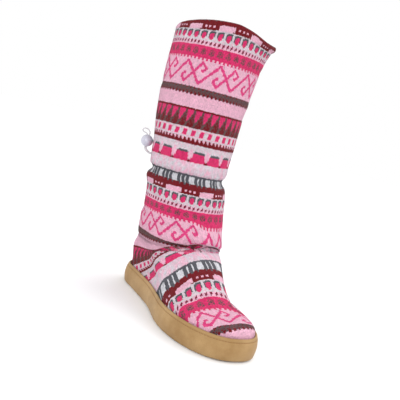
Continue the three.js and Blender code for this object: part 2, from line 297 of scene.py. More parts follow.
# course, the section's middle x and z, its tilt in degrees, and how far it lifts in front,
# dips behind and runs ahead on the outer side
FOOT_COURSES = [
    (234, 5, 79.5, 0, 1, 0, 0),
    (245, 6, 68, 4, 5, 2, 1),
    (255.5, 8, 58, 9, 6, 4, 3),
    (264, 14, 55.5, 17, 7, 5, 4),
    (274, 24, 51, 27, 9, 3, 4.5),
    (282, 33.5, 50.2, 31.5, 10, 1, 4.6),
    (291, 43.6, 50.3, 35.5, 11, 0, 4.7),
    (310, 71, 48.8, 41, 14, 0, 4.5),
    (319.5, 88.5, 50, 59, 4, 0, 6),
    (328, 107.5, 38, 82, -1, 0, 3),
    (339, 124, 32, 93, -1, 0, 1.5),
    (350, 143, 28, 103, -1, 0, -1),
    (357, 152.5, 25.5, 104, 0, 0, -2),
    (368, 165.5, 24, 98, 0, 0, -1),
    (384, 178, 25, 80, 0, 0, 1),
    (399, 186.5, 24.5, 62, 0, 0, 3.5),
    (405, 190, 23.5, 46, 0, 0, 3.5),
    (409.5, 192.5, 23, 30, 0, 0, 3),
    (414, 194, 22.5, 15, 0, 0, 2),
    (418.5, 195, 22, 3, 0, 0, 1),
]
FIRST_COURSE = -30
PLAIN_HEM = -7
COLLAR_COURSE = 29
LAST_COURSE = 418
ANGLES = 288
FAR = 160.0
# Where the shaft's level courses turn into the foot's sections, and over how many courses
FOOT_COURSE = 228
FOOT_BLEND = 12
SIDE_BLEND = 60
# Hits below the first height are on the sole's tray, and the knit ends at the second
LOWEST_HIT = 15.0
RIM_FLOOR = 21.0
# The middle and half-width in degrees of a section's lift in front and of its dip behind
LIFT_ARC = (8, 85)
DIP_ARC = (180, 75)
# How far the wall is blurred, in rays round it and in courses along it
ROUND_BLUR = 2.6
ALONG_BLUR = 1.1


def softened(table, courses, width=3.0):
    """The table's columns at the given courses, its corners rounded over a few courses."""
    table = np.array(table, float)
    reach = np.arange(-3 * width, 3 * width + 0.1)
    weights = np.exp(-0.5 * (reach / width) ** 2)
    weights /= weights.sum()
    spread = courses[:, None] + reach[None]
    first, last = table[0, 0], table[-1, 0]
    columns = []
    for column in range(1, table.shape[1]):
        values = np.interp(spread, table[:, 0], table[:, column])
        slope_in = (table[1, column] - table[0, column]) / (table[1, 0] - first)
        slope_out = (table[-1, column] - table[-2, column]) / (last - table[-2, 0])
        values += np.minimum(spread - first, 0) * slope_in
        values += np.maximum(spread - last, 0) * slope_out
        columns.append(values @ weights)
    return np.array(columns)


def tree_of(node):
    """A ray-casting tree of a CAD node, in millimetres in the row frame."""
    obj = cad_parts[node]
    world = obj.matrix_world
    points = [tuple((world @ v.co) / MM) for v in obj.data.vertices]
    faces = [tuple(p.vertices) for p in obj.data.polygons]
    return BVHTree.FromPolygons(points, faces)


def smooth_bump(angle, middle, half_width):
    """One at the middle angle, falling smoothly to zero at half_width away, in degrees."""
    away = np.abs((angle - middle + 180) % 360 - 180)
    share = np.minimum(away / half_width, 1)
    return np.where(away < half_width, 0.5 + 0.5 * np.cos(np.pi * share), 0)


def sections(courses):
    """For each course the middle, forward and normal directions of its section, and its bends."""
    shaft_z = softened(SHAFT_COURSES, courses)[0]
    x, z, tilt, lift, dip, lead = softened(FOOT_COURSES, courses)
    on_foot = np.clip((courses - FOOT_COURSE) / FOOT_BLEND, 0, 1)
    x = x * on_foot
    tilt = np.radians(tilt) * on_foot
    z = shaft_z * (1 - on_foot) + z * on_foot
    side = -SHAFT_SIDE * np.clip((courses - FOOT_COURSE) / SIDE_BLEND, 0, 1)
    zero = np.zeros_like(x)
    middle = np.stack([x, side, z], 1)
    forward = np.stack([np.cos(tilt), zero, np.sin(tilt)], 1)
    normal = np.stack([np.sin(tilt), zero, -np.cos(tilt)], 1)
    return middle, forward, normal, lift * on_foot, dip * on_foot, lead * on_foot


def ray_angles():
    """The angles round a section in degrees, from behind over the outer side to the front and on."""
    return (np.arange(ANGLES) - ANGLES // 2) * 360 / ANGLES


def cast(tree, courses, inner):
    """Rays from each section's middle, for every course and angle, and how far the wall is along them."""
    middle, forward, normal, lift, dip, lead = sections(courses)
    angle = ray_angles()
    turn = np.radians(angle)
    side = np.array([0.0, 1.0, 0.0])
    ray = forward[:, None] * np.cos(turn)[None, :, None] + side * np.sin(turn)[None, :, None]
    bend = dip[:, None] * smooth_bump(angle, *DIP_ARC) - lift[:, None] * smooth_bump(angle, *LIFT_ARC)
    bend -= lead[:, None] * np.sin(turn)[None]
    origin = middle[:, None] + bend[..., None] * normal[:, None]
    reach = np.full(ray.shape[:2], np.nan)
    for r in range(len(courses)):
        for a in range(ANGLES):
            o = Vector(origin[r, a])
            d = Vector(ray[r, a])
            if inner:
                hit, _, _, distance = tree.ray_cast(o, d, FAR)
            else:
                hit, _, _, distance = tree.ray_cast(o + d * FAR, -d, FAR)
            if hit is not None and hit.z > LOWEST_HIT:
                reach[r, a] = distance if inner else FAR - distance
    return origin, ray, reach


def blurred(values, width, axis, wrap):
    """A Gaussian blur along one axis that leaves gaps of NaN out of its averages."""
    size = int(3 * width + 0.5)
    total = np.zeros_like(values)
    weight = np.zeros_like(values)
    known = np.isfinite(values)
    filled = np.where(known, values, 0)
    for shift in range(-size, size + 1):
        w = math.exp(-0.5 * (shift / width) ** 2)
        moved = np.roll(filled, shift, axis)
        seen = np.roll(known, shift, axis)
        if shift and not wrap:
            index = [slice(None)] * values.ndim
            index[axis] = slice(0, shift) if shift > 0 else slice(values.shape[axis] + shift, None)
            seen[tuple(index)] = False
        total += w * np.where(seen, moved, 0)
        weight += w * seen
    return np.where(known, total / np.maximum(weight, 1e-9), np.nan)


def wall_points(tree, courses, inner):
    """Smoothed points of the wall, courses by angles, NaN where the sole has taken over."""
    origin, ray, reach = cast(tree, courses, inner)
    reach = blurred(reach, ROUND_BLUR, 1, True)
    reach = blurred(reach, ALONG_BLUR, 0, False)
    points = origin + ray * reach[..., None]
    points[points[..., 2] < RIM_FLOOR] = np.nan
    return points


# course, a stitch's width, and how far the front wale has drifted to the inner side, in millimetres
WALE_COURSES = [
    (-14, 1.25, 0), (60, 1.25, 0), (90, 1.25, -2.5), (115, 1.28, -6), (135, 1.31, -8.5),
    (170, 1.36, -12.3), (235, 1.38, -13), (290, 1.5, -7.5), (310, 1.62, -5.5),
    (325, 1.62, -4.7), (340, 1.53, -4), (365, 1.55, -4), (400, 1.5, -4), (430, 1.4, -4),
]
# How many wales past the seam a course may still run, on either side
SPARE_WALES = 4.5
# The distance from the seam where a course has none
NO_SEAM = 99.0


def signed_arc(course):
    """A course's arc lengths from the front, minus on the outer side, with its points.

    It also says of each side whether it is whole, all the way to the back.
    """
    half = ANGLES // 2
    front_first = np.roll(course, -half, axis=0)
    outer = np.concatenate([front_first[:1], front_first[:half - 1:-1]])
    inner = front_first[:half + 1]
    lines = []
    whole = []
    for line in (outer, inner):
        step = np.linalg.norm(np.diff(line, axis=0), axis=1)
        known = np.isfinite(step)
        end = len(step) if known.all() else int(np.argmin(known))
        lines.append((np.concatenate([[0], np.cumsum(step[:end])]), line[:end + 1]))
        whole.append(end == half)
    arc = np.concatenate([-lines[0][0][:0:-1], lines[1][0]])
    return arc, np.concatenate([lines[0][1][:0:-1], lines[1][1]]), whole


def lay_wales(points, courses, columns):
    """Resamples each course to its stitches, and gives their distance from the seam at the back."""
    laid = np.full((len(points), len(columns), 3), np.nan)
    seam = np.full((len(points), len(columns)), NO_SEAM)
    width, drift = softened(WALE_COURSES, courses, 6.0)
    for r, course in enumerate(points):
        arc, line, whole = signed_arc(course)
        place = columns * width[r] + drift[r]
        spare = SPARE_WALES * width[r]
        low = arc[0] - (spare if whole[0] else 0)
        high = arc[-1] + (spare if whole[1] else 0)
        inside = (place >= low) & (place <= high)
        for axis in range(3):
            laid[r, inside, axis] = np.interp(place[inside], arc, line[:, axis])
        if whole[0]:
            seam[r] = np.minimum(seam[r], np.abs(place - arc[0]))
            seam[r, place < arc[0]] = 0
        if whole[1]:
            seam[r] = np.minimum(seam[r], np.abs(place - arc[-1]))
            seam[r, place > arc[-1]] = 0
    return laid, seam


# angle round the collar, and how far its courses hang below level there, in millimetres
COLLAR_SAG = [
    (-180, 1), (-90, 3.4), (-62, 3.4), (-38, 2.2), (-26, 0.6), (-12, -0.6), (5, -0.2), (18, 3),
    (28, 5.6), (45, 5.8), (80, 2), (180, 1),
]
# The sag grows from zero at this course up to the rim, over so many courses
SAG_COURSE = 27
SAG_BLEND = 18
# How far the collar flares and its rim dips, and the angles in degrees where they do
COLLAR_FLARE = 3.6
FLARE_ANGLE = 48
FLARE_WIDTH = 38
RIM_DIP = 6.0
DIP_ANGLE = 31
DIP_WIDTH = 42
# The flare grows to its full size over this height above the collar course
FLARE_HEIGHT = 18
# The heights of a course in the collar, of the rim's roll and of the path down inside, and its step
HEM_COURSE_HEIGHT = 1.18
RIM_ROLL = 2.4
HEM_DEPTH = 70
HEM_STEP = 0.8
# The levels at which the collar's wall is measured
COLLAR_LEVELS = np.arange(300.0, 350.0, 0.75)


def collar_points(tree, courses):
    """The courses above the collar course, up the wall, over the rim and down inside it."""
    degrees = ray_angles()
    angle = np.radians(degrees)
    levels = COLLAR_LEVELS
    start = float(softened(SHAFT_COURSES, np.array([float(COLLAR_COURSE)]))[0, 0])
    outer = np.full((len(levels), ANGLES), np.nan)
    inner = np.full((len(levels), ANGLES), np.nan)
    for a, turn in enumerate(angle):
        d = Vector((math.cos(turn), math.sin(turn), 0))
        for k, z in enumerate(levels):
            o = Vector((0, 0, z))
            hit_out = tree.ray_cast(o + d * FAR, -d, FAR)
            hit_in = tree.ray_cast(o, d, FAR)
            if hit_out[0] is not None and hit_in[0] is not None:
                outer[k, a] = FAR - hit_out[3]
                inner[k, a] = hit_in[3]
    tops = np.array([levels[np.isfinite(outer[:, a])].max() for a in range(ANGLES)])
    tops = blurred(tops[None], 4.0, 1, True)[0] + 0.3
    tops -= RIM_DIP * smooth_bump(degrees, DIP_ANGLE, DIP_WIDTH)
    sag = np.interp(degrees, *np.array(COLLAR_SAG).T)
    sag_share = np.clip((SAG_COURSE - courses) / SAG_BLEND, 0, 1.4)
    flare = COLLAR_FLARE * np.exp(-((degrees - FLARE_ANGLE) / FLARE_WIDTH) ** 2)
    bow = np.linspace(0, math.pi, 12)[1:-1]
    rows = np.zeros((len(courses), ANGLES, 3))
    outer = blurred(outer, ROUND_BLUR, 1, True)
    inner = blurred(inner, ROUND_BLUR, 1, True)
    for a, turn in enumerate(angle):
        known = np.isfinite(outer[:, a])
        shoulder = tops[a] - RIM_ROLL
        rise = np.arange(start, shoulder, HEM_STEP)
        sink = np.arange(shoulder, shoulder - HEM_DEPTH, -HEM_STEP)
        r_rise = np.interp(np.append(rise, shoulder), levels[known], outer[known, a])
        r_sink = np.interp(sink, levels[known], inner[known, a])
        r_bow = (r_rise[-1] + r_sink[0]) / 2 + np.cos(bow) * (r_rise[-1] - r_sink[0]) / 2
        r = np.concatenate([r_rise[:-1], r_bow, r_sink])
        z = np.concatenate([rise, shoulder + np.sin(bow) * RIM_ROLL, sink])
        r = r + flare[a] * np.clip((z - start) / FLARE_HEIGHT, 0, 1) ** 1.3
        path = np.concatenate([[0], np.cumsum(np.hypot(np.diff(r), np.diff(z)))])
        want = (COLLAR_COURSE - courses) * HEM_COURSE_HEIGHT - sag[a] * sag_share
        r_at = np.interp(want, path, r)
        z_at = np.interp(want, path, z)
        rows[:, a] = np.stack([r_at * math.cos(turn), r_at * math.sin(turn), z_at], 1)
    return rows


def grid_normals(points):
    """Unit normals of a grid of points, by its own neighbours, pointing away from the tube's inside."""
    along = np.gradient(np.nan_to_num(points), axis=0)
    over = np.gradient(np.nan_to_num(points), axis=1)
    normal = np.cross(along, over)
    size = np.linalg.norm(normal, axis=2, keepdims=True)
    return normal / np.maximum(size, 1e-9)


def knit_normals(points, seam):
    """The grid's normals, carried over to the columns that end in the seam."""
    normals = grid_normals(points)
    for r in range(len(points)):
        free = np.flatnonzero((seam[r] > 0) & np.isfinite(points[r, :, 0]))
        if len(free):
            normals[r, :free[0]] = normals[r, free[0]]
            normals[r, free[-1] + 1:] = normals[r, free[-1]]
    return normals


def knit_grid(tree):
    """Points at every half wale and course line of the whole tube, before its relief."""
    half_columns = np.arange(-2 * SIDE_WALES, 2 * SIDE_WALES + 1) / 2
    courses = np.arange(FIRST_COURSE, LAST_COURSE + 1, dtype=float)
    below = courses[courses > COLLAR_COURSE]
    above = courses[courses <= COLLAR_COURSE]
    wall = wall_points(tree, below, False)
    collar = collar_points(tree, above)
    points = np.concatenate([collar, wall])
    join = slice(len(above) - 6, len(above) + 6)
    eased = np.stack([blurred(points[..., i], 1.5, 0, False) for i in range(3)], -1)
    points[join] = eased[join]
    laid, seam = lay_wales(points, courses, half_columns)
    return courses, half_columns, laid, seam


# The fold at the instep: courses, and where each of them goes in front and on the inner side
FOLD_FROM = [200, 236, 307, 317]
FOLD_TO = [200, 269, 271, 317]
FOLD_WALES = (2, 20, 46, 66)
# Courses closer together than the gap, within these, are drawn in to the depth
CROWDED_GAP = 0.8
TUCK_COURSES = (236, 312)
TUCK_DEPTH = 1.7


def fold_share(half_columns):
    """How far each wale takes part in the fold, from zero to one."""
    share = np.interp(half_columns, FOLD_WALES, (0, 1, 1, 0))
    return share ** 2 * (3 - 2 * share)


def folded(courses, half_columns, points):
    """Hides the courses inside the fold at the instep, where the leg sags over the foot."""
    share = fold_share(half_columns)
    shift = np.interp(courses, FOLD_FROM, np.subtract(FOLD_TO, FOLD_FROM))
    out = points.copy()
    for column in np.flatnonzero(share):
        known = np.isfinite(points[:, column, 0])
        place = courses + share[column] * shift
        inside = known & (place <= courses[known].max())
        for axis in range(3):
            line = points[known, column, axis]
            out[inside, column, axis] = np.interp(place[inside], courses[known], line)
    return out


def tucked(courses, half_columns, points, normals):
    """Draws courses that crowd together at the instep into a crease."""
    gap = np.linalg.norm(np.diff(points, axis=0, append=points[-1:]), axis=2)
    crowd = np.clip(1 - gap / CROWDED_GAP, 0, 1)
    crowd[(courses < TUCK_COURSES[0]) | (courses > TUCK_COURSES[1])] = 0
    crowd = np.nan_to_num(crowd)
    depth = TUCK_DEPTH * blurred(blurred(crowd, 3.0, 0, False), 5.0, 1, False)
    depth *= np.clip((half_columns + 62) / 40, 0, 1)
    return points - normals * depth[..., None]


# Creases: depth, half-width in millimetres, and the course and wale of each corner;
# a depth below zero is a ridge
CREASES = [
    (1.3, 3.2, [(187, -24), (191, -9), (197, 5), (205, 20), (209, 38)]),
    (-1.2, 5.5, [(198, -20), (204, -3), (212, 12), (218, 30)]),
    (1.0, 3.0, [(226, -12), (228, 4), (223, 20), (212, 36)]),
    (-0.8, 4.0, [(176, 48), (182, 34), (184, 18)]),
    (0.9, 4.5, [(92, 54), (88, 40), (90, 22)]),
    (-0.9, 5.0, [(75, 58), (76, 42), (74, 26)]),
    (0.8, 4.0, [(37, 66), (37, 52), (42, 36), (44, 24)]),
    (0.6, 5.0, [(56, -62), (62, -44), (61, -26)]),
    (0.7, 5.0, [(118, -58), (124, -40), (125, -20)]),
    (0.7, 4.5, [(134, 50), (128, 36), (127, 20)]),
    (1.3, 4.5, [(196, -92), (206, -74), (214, -56)]),
    (-1.0, 5.0, [(206, -96), (217, -78), (224, -60)]),
    (1.4, 4.5, [(222, -112), (230, -92), (232, -74)]),
    (1.2, 4.0, [(246, -104), (250, -88), (247, -72)]),
    (1.3, 4.5, [(192, 58), (203, 74), (210, 96)]),
    (-1.0, 5.0, [(204, 56), (214, 74), (219, 94)]),
    (1.3, 4.5, [(222, 70), (230, 88), (230, 108)]),
    (0.9, 5.0, [(104, 74), (110, 92), (106, 110)]),
    (0.9, 5.0, [(66, -74), (74, -92), (70, -112)]),
]
COURSE_HEIGHT = 1.16
WALE_WIDTH = 1.34
# The puff above the drawcord, the groove that it draws, and its gathers, which leave the lock free
PUFF_COURSE = 148.5
CORD_COURSE = 156
LOCK_WALE = -66
GATHER_WALES = 7.3
GATHER_DEPTH = 0.45


def creased(courses, half_columns, points, normals):
    """Adds the creases, and the gathers and the puff at the drawcord."""
    down = courses[:, None] * COURSE_HEIGHT
    side = half_columns[None] * WALE_WIDTH
    depth = np.zeros(points.shape[:2])
    for deep, width, corners in CREASES:
        line = np.array(corners, float) * (COURSE_HEIGHT, WALE_WIDTH)
        arc = np.concatenate([[0], np.cumsum(np.linalg.norm(np.diff(line, axis=0), axis=1))])
        nearest = np.full(depth.shape, np.inf)
        along = np.zeros(depth.shape)
        for (d0, s0), (d1, s1), start, end in zip(line, line[1:], arc, arc[1:]):
            size = end - start
            t = ((down - d0) * (d1 - d0) + (side - s0) * (s1 - s0)) / size ** 2
            t = np.clip(t, 0, 1)
            away = np.hypot(down - d0 - t * (d1 - d0), side - s0 - t * (s1 - s0))
            closer = away < nearest
            nearest = np.where(closer, away, nearest)
            along = np.where(closer, (start + t * size) / arc[-1], along)
        depth += deep * np.sin(np.pi * along) ** 0.7 * np.exp(-(nearest / width) ** 2)
    free = 1 - np.exp(-((half_columns - LOCK_WALE) / 13) ** 2)
    c = courses[:, None]
    puff = 1.2 * np.exp(-((c - PUFF_COURSE) / 5) ** 2) - 1.1 * np.exp(-((c - CORD_COURSE) / 2.2) ** 2)
    wander = ripple(len(half_columns), 20, 2.5)
    gather = np.sin(2 * np.pi * half_columns / GATHER_WALES + wander)[None]
    gather = gather * np.exp(-((c - CORD_COURSE - 0.5) / 8) ** 2)
    rise = (puff + GATHER_DEPTH * gather) * free[None] - depth
    return points + normals * rise[..., None]


# A stitch in millimetres: how high its middle and low its edges lie, and the seam's groove;
# and how far its middle is pulled down, as a share of a course
STITCH_MIDDLE = 0.22
STITCH_EDGE = -0.16
SEAM_GROOVE = 1.1
STITCH_DROP = 0.6


def in_middle(half_columns):
    """True for the columns that run down the middle of a stitch."""
    return np.abs(half_columns * 2) % 2 == 1


def knit_relief(points, normals, courses, half_columns, seam):
    """Ribs the surface into wales, and draws it in along the seam at the back, below the rim."""
    rise = np.where(in_middle(half_columns), STITCH_MIDDLE, STITCH_EDGE)[None] * np.clip(seam / 2, 0, 1)
    below_rim = np.clip((courses - 4) / 8, 0, 1)[:, None]
    rise = rise - SEAM_GROOVE * below_rim * np.exp(-(seam / 1.5) ** 2)
    return points + normals * rise[..., None]


def sheared(points, half_columns):
    """Pulls the middle of each stitch down its wale, so that its two legs make a V."""
    middle = in_middle(half_columns)
    out = points.copy()
    step = np.diff(points, axis=0, append=points[-1:])
    step[-1] = step[-2]
    step = np.where(np.isfinite(step), step, 0)
    out[:, middle] += STITCH_DROP * step[:, middle]
    return out


def uneven(points, seam):
    """Shifts every corner a little within the fabric, so that no two stitches are quite alike."""
    along = np.diff(points, axis=0, append=points[-1:])
    over = np.diff(points, axis=1, append=points[:, -1:])
    free = np.clip(seam / 3, 0, 1)[..., None]
    moved = RNG.normal(0, 0.2, seam.shape)[..., None] * along
    moved = moved + RNG.normal(0, 0.3, seam.shape)[..., None] * over
    return points + free * np.where(np.isfinite(moved), moved, 0)


def stitch_colours(courses, half_columns):
    """A linear colour for each stitch, with a little seeded variation from stitch to stitch."""
    rows = chart()
    palette = {k: np.array(linear(v)) for k, v in YARNS.items()}
    wales = np.floor(half_columns[:-1]).astype(int)
    index = courses[:-1].astype(int)
    # The two courses of the rim repeat a little way into the hem, and the rest of it is plain
    index = np.where(index < 0, index % 2, index)
    letters = rows[index][:, wales % CHART_WALES]
    letters[courses[:-1] < PLAIN_HEM] = "R"
    colours = np.zeros(letters.shape + (3,))
    for letter, colour in palette.items():
        colours[letters == letter] = colour
    fleck = RNG.normal(0, 1, (len(index), 2 * SIDE_WALES))
    fleck = blurred(blurred(fleck, 1.3, 0, False), 0.7, 1, True)
    share = np.repeat(np.clip(0.5 + 0.9 * fleck, 0, 1), 2, axis=1)[..., None]
    flecked = palette["P"] * share + palette["S"] * (1 - share)
    colours[letters == "F"] = flecked[letters == "F"]
    # Slivers of the courses that are hidden in the fold show in one colour only
    inside = (courses[:-1] >= FOLD_FROM[1] + 2) & (courses[:-1] < FOLD_FROM[2])
    colours[inside[:, None] & (fold_share(half_columns[:-1]) > 0.75)[None]] = palette["P"]
    tone = RNG.normal(1.0, 0.08, (len(index), 2 * SIDE_WALES))
    tone = np.repeat(tone, 2, axis=1)
    return colours * tone[..., None]


def grid_mesh(name, points, material, colours=None, uv=None, ended=None):
    """A quad mesh of a grid of points in millimetres, without NaN points or quads that lie in a seam."""
    rows, columns = points.shape[:2]
    known = np.isfinite(points).all(axis=2)
    whole = known[:-1, :-1] & known[1:, :-1] & known[:-1, 1:] & known[1:, 1:]
    if ended is not None:
        whole &= ~(ended[:-1, :-1] & ended[1:, :-1] & ended[:-1, 1:] & ended[1:, 1:])
    number = np.arange(rows * columns).reshape(rows, columns)
    quads = np.stack([number[:-1, :-1], number[1:, :-1], number[1:, 1:], number[:-1, 1:]], -1)[whole]
    used = np.unique(quads)
    renumber = np.full(rows * columns, -1)
    renumber[used] = np.arange(len(used))
    quads = renumber[quads]
    mesh = bpy.data.meshes.new(name)
    mesh.vertices.add(len(used))
    mesh.vertices.foreach_set("co", (points.reshape(-1, 3)[used] * MM).astype(np.float32).ravel())
    mesh.loops.add(quads.size)
    mesh.loops.foreach_set("vertex_index", quads.ravel().astype(np.int32))
    mesh.polygons.add(len(quads))
    mesh.polygons.foreach_set("loop_start", np.arange(0, quads.size, 4, dtype=np.int32))
    mesh.update(calc_edges=True)
    if colours is not None:
        layer = mesh.color_attributes.new("yarn", "FLOAT_COLOR", "CORNER")
        face = np.concatenate([colours[whole], np.ones((len(quads), 1))], 1)
        layer.data.foreach_set("color", np.repeat(face, 4, axis=0).astype(np.float32).ravel())
    if uv is not None:
        layer = mesh.uv_layers.new(name="stitches")
        corner = uv.reshape(-1, 2)[used][quads]
        layer.data.foreach_set("uv", corner.astype(np.float32).ravel())
    mesh.materials.append(material)
    mesh.polygons.foreach_set("use_smooth", np.ones(len(quads), bool))
    return add_object(name, mesh)


def closed(grid):
    """A grid whose last column meets its first, facing outwards."""
    return np.concatenate([grid, grid[:, :1]], axis=1)[:, ::-1]


def make_knit(tree):
    """The knitted tube in four pieces from the collar to the toe."""
    courses, half_columns, points, seam = knit_grid(tree)
    points = folded(courses, half_columns, points)
    normals = knit_normals(points, seam)
    points = tucked(courses, half_columns, points, normals)
    points = creased(courses, half_columns, points, normals)
    normals = knit_normals(points, seam)
    uv = np.stack(np.broadcast_arrays(half_columns[None], courses[:, None]), -1).astype(float)
    colours = stitch_colours(courses, half_columns)
    points = uneven(sheared(points, half_columns), seam)
    points = knit_relief(points, normals, courses, half_columns, seam)
    material = knit_material()
    cuts = [FIRST_COURSE, 100, 210, 310, LAST_COURSE]
    names = ["knit_cuff", "knit_leg", "knit_ankle", "knit_foot"]
    for name, first, last in zip(names, cuts, cuts[1:]):
        part = slice(first - FIRST_COURSE, last - FIRST_COURSE + 1)
        faces = slice(first - FIRST_COURSE, last - FIRST_COURSE)
        piece = grid_mesh(name, points[part], material, colours[faces], uv[part], seam[part] == 0)
        settle(piece, "upper")


def settle(piece, node):
    """A piece rides on the one body, and replaces a CAD node's plain solid."""
    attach(piece, "root")
    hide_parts(node)


# How far the lining's top spreads behind the hem, as a share, and over how many courses
LINING_SPREAD = 0.018
LINING_BLEND = 14


def make_lining(tree):
    """The plain pale lining inside the knit."""
    courses = np.arange(COLLAR_COURSE + 1, LAST_COURSE, 3, dtype=float)
    wall = wall_points(tree, courses, True)
    behind_hem = np.clip((COLLAR_COURSE - courses) / LINING_BLEND + 1, 0, 1)
    wall[..., :2] *= 1 + LINING_SPREAD * behind_hem[:, None, None]
    n = Nodes("lining")
    place = n.add("TexCoord").outputs["Object"]
    nap = n.noise(place, 1400.0, 4.0)
    colour = n.mix(n.ramp(nap, 0.3, 0.7, 0.0, 1.0), (0.66, 0.53, 0.56, 1), (0.8, 0.68, 0.7, 1))
    n.shade(Base_Color=colour, Roughness=0.95, Specular_IOR_Level=0.1,
            Normal=n.bump(nap, 0.0006, 0.8))
    settle(grid_mesh("lining", closed(wall), n.material), "upper")


# The sole, its thread and the insole

HEEL_TURN = (-8.0, -2.0)
TOE_TURN = (150.0, -4.0)
STATIONS = 760
SIDE_REACH = 20
STITCH_DOWN = 3.4
STITCH_PITCH = 3.2
# The rings on the sole's side, as shares of its height from the floor to the rim
SIDE_SHARES = [0.012, 0.03, 0.055, 0.085, *np.linspace(0.12, 0.78, 15), *np.linspace(0.8, 0.975, 14)]
# The rings over the rim: how far in from the side and down from the top
RIM_RINGS = [(0.35, 0.35), (0.8, 0.1), (1.4, 0.08), (1.9, 0.35), (2.2, 0.9), (2.3, 2.2), (2.4, 5.0)]
GROOVE_DEPTH = 0.4
GROOVE_WIDTH = 0.8


def spine_side(x):
    """The side coordinate of the sole's spine, a line from the heel's turn to the toe's."""
    return np.interp(x, [HEEL_TURN[0], TOE_TURN[0]], [HEEL_TURN[1], TOE_TURN[1]])


def plan_loop(tree, level):
    """A solid's outline at one height as evenly spaced stations.

    It gives their points, outward directions and spine points, and the outline's length.
    """
    def edge(o, d):
        start = Vector((o[0] + d[0] * FAR, o[1] + d[1] * FAR, level))
        hit = tree.ray_cast(start, Vector((-d[0], -d[1], 0)))
        return (hit[0].x, hit[0].y)
    turns = np.radians(np.arange(-90, 90, 2.0))
    along = [(x, spine_side(x)) for x in np.arange(HEEL_TURN[0], TOE_TURN[0], 2.0)]
    loop = [edge(o, (0, -1)) for o in along]
    loop += [edge(TOE_TURN, (math.cos(t), math.sin(t))) for t in turns]
    loop += [edge(o, (0, 1)) for o in reversed(along)]
    loop += [edge(HEEL_TURN, (-math.cos(t), -math.sin(t))) for t in turns]
    loop = np.array(loop + loop[:1])
    arc = np.concatenate([[0], np.cumsum(np.linalg.norm(np.diff(loop, axis=0), axis=1))])
    even = np.linspace(0, arc[-1], STATIONS, endpoint=False)
    points = np.stack([np.interp(even, arc, loop[:, i]) for i in range(2)], 1)
    points = np.stack([blurred(points[:, i], 3.0, 0, True) for i in range(2)], 1)
    step = np.roll(points, -1, axis=0) - np.roll(points, 1, axis=0)
    out = np.stack([step[:, 1], -step[:, 0]], 1)
    out /= np.linalg.norm(out, axis=1, keepdims=True)
    middle_x = np.clip(points[:, 0], HEEL_TURN[0], TOE_TURN[0])
    return points, out, np.stack([middle_x, spine_side(middle_x)], 1), arc[-1]


def filled_in(values, width):
    """Values round the outline with their gaps filled by the mean, blurred."""
    return blurred(np.where(np.isfinite(values), values, np.nanmean(values)), width, 0, True)


def side_offset(tree, points, out, level):
    """How far the solid's side stands out from the outline at a height, or at a height a station."""
    level = np.broadcast_to(level, len(points))
    offsets = np.full(len(points), np.nan)
    for k, (p, n) in enumerate(zip(points, out)):
        start = Vector((p[0] + n[0] * SIDE_REACH, p[1] + n[1] * SIDE_REACH, level[k]))
        hit = tree.ray_cast(start, Vector((-n[0], -n[1], 0)))
        if hit[0] is not None and hit[3] < 2 * SIDE_REACH:
            offsets[k] = SIDE_REACH - hit[3]
    return filled_in(offsets, 2.0)


def level_at(tree, places, up):
    """The height of the solid's top or underside at each place."""
    start, way = (-30, 1) if up else (80, -1)
    heights = np.full(len(places), np.nan)
    for k, p in enumerate(places):
        hit = tree.ray_cast(Vector((p[0], p[1], start)), Vector((0, 0, way)))
        if hit[0] is not None:
            heights[k] = hit[0].z
    return filled_in(heights, 3.0)


def ring(places, heights):
    """Points at the places, at one height or at a height each."""
    return np.concatenate([places, np.broadcast_to(heights, len(places))[:, None]], 1)


def flat_rings(tree, points, out, spine, offset, up):
    """Rings over the solid's top or underside, from its edge in to its spine."""
    rings = []
    for inset in (1.2, 2.4, 4, 7, 12, 20):
        places = points + out * (offset - inset)[:, None]
        rings.append(ring(places, level_at(tree, places, up)))
    edge = rings[-1][:, :2]
    for share in (0.35, 0.7, 1.0):
        places = edge + (spine - edge) * share
        rings.append(ring(places, level_at(tree, places, up)))
    return rings


def suede_material():
    """Tan suede with a brushed, mottled nap."""
    n = Nodes("suede")
    place = n.add("TexCoord").outputs["Object"]
    broad = n.noise(place, 22.0, 3.0)
    mottle = n.noise(place, 110.0, 5.0)
    nap = n.noise(place, 1500.0, 4.0)
    tone = n.math("ADD", n.math("MULTIPLY", broad, 0.7), n.math("MULTIPLY", mottle, 0.3))
    colour = n.mix(n.ramp(tone, 0.34, 0.66, 0.0, 1.0), (*linear("#94744b"), 1), (*linear("#ad8e63"), 1))
    shade = n.ramp(nap, 0.3, 0.7, 0.9, 1.08)
    n.shade(Base_Color=n.tint(colour, shade), Roughness=0.95, Specular_IOR_Level=0.15,
            Sheen_Weight=0.12, Sheen_Roughness=0.5,
            Normal=n.bump(n.math("ADD", nap, n.math("MULTIPLY", mottle, 1.5)), 0.0004, 0.5))
    return n.material


def ripple(count, waves, size):
    """A seeded smooth wave round a closed loop."""
    turn = np.arange(count) * 2 * math.pi / count
    wave = np.zeros(count)
    for k in range(3, waves):
        wave += RNG.normal(0, 1 / k) * np.sin(k * turn + RNG.uniform(0, 2 * math.pi))
    return wave * size / max(np.abs(wave).max(), 1e-6)


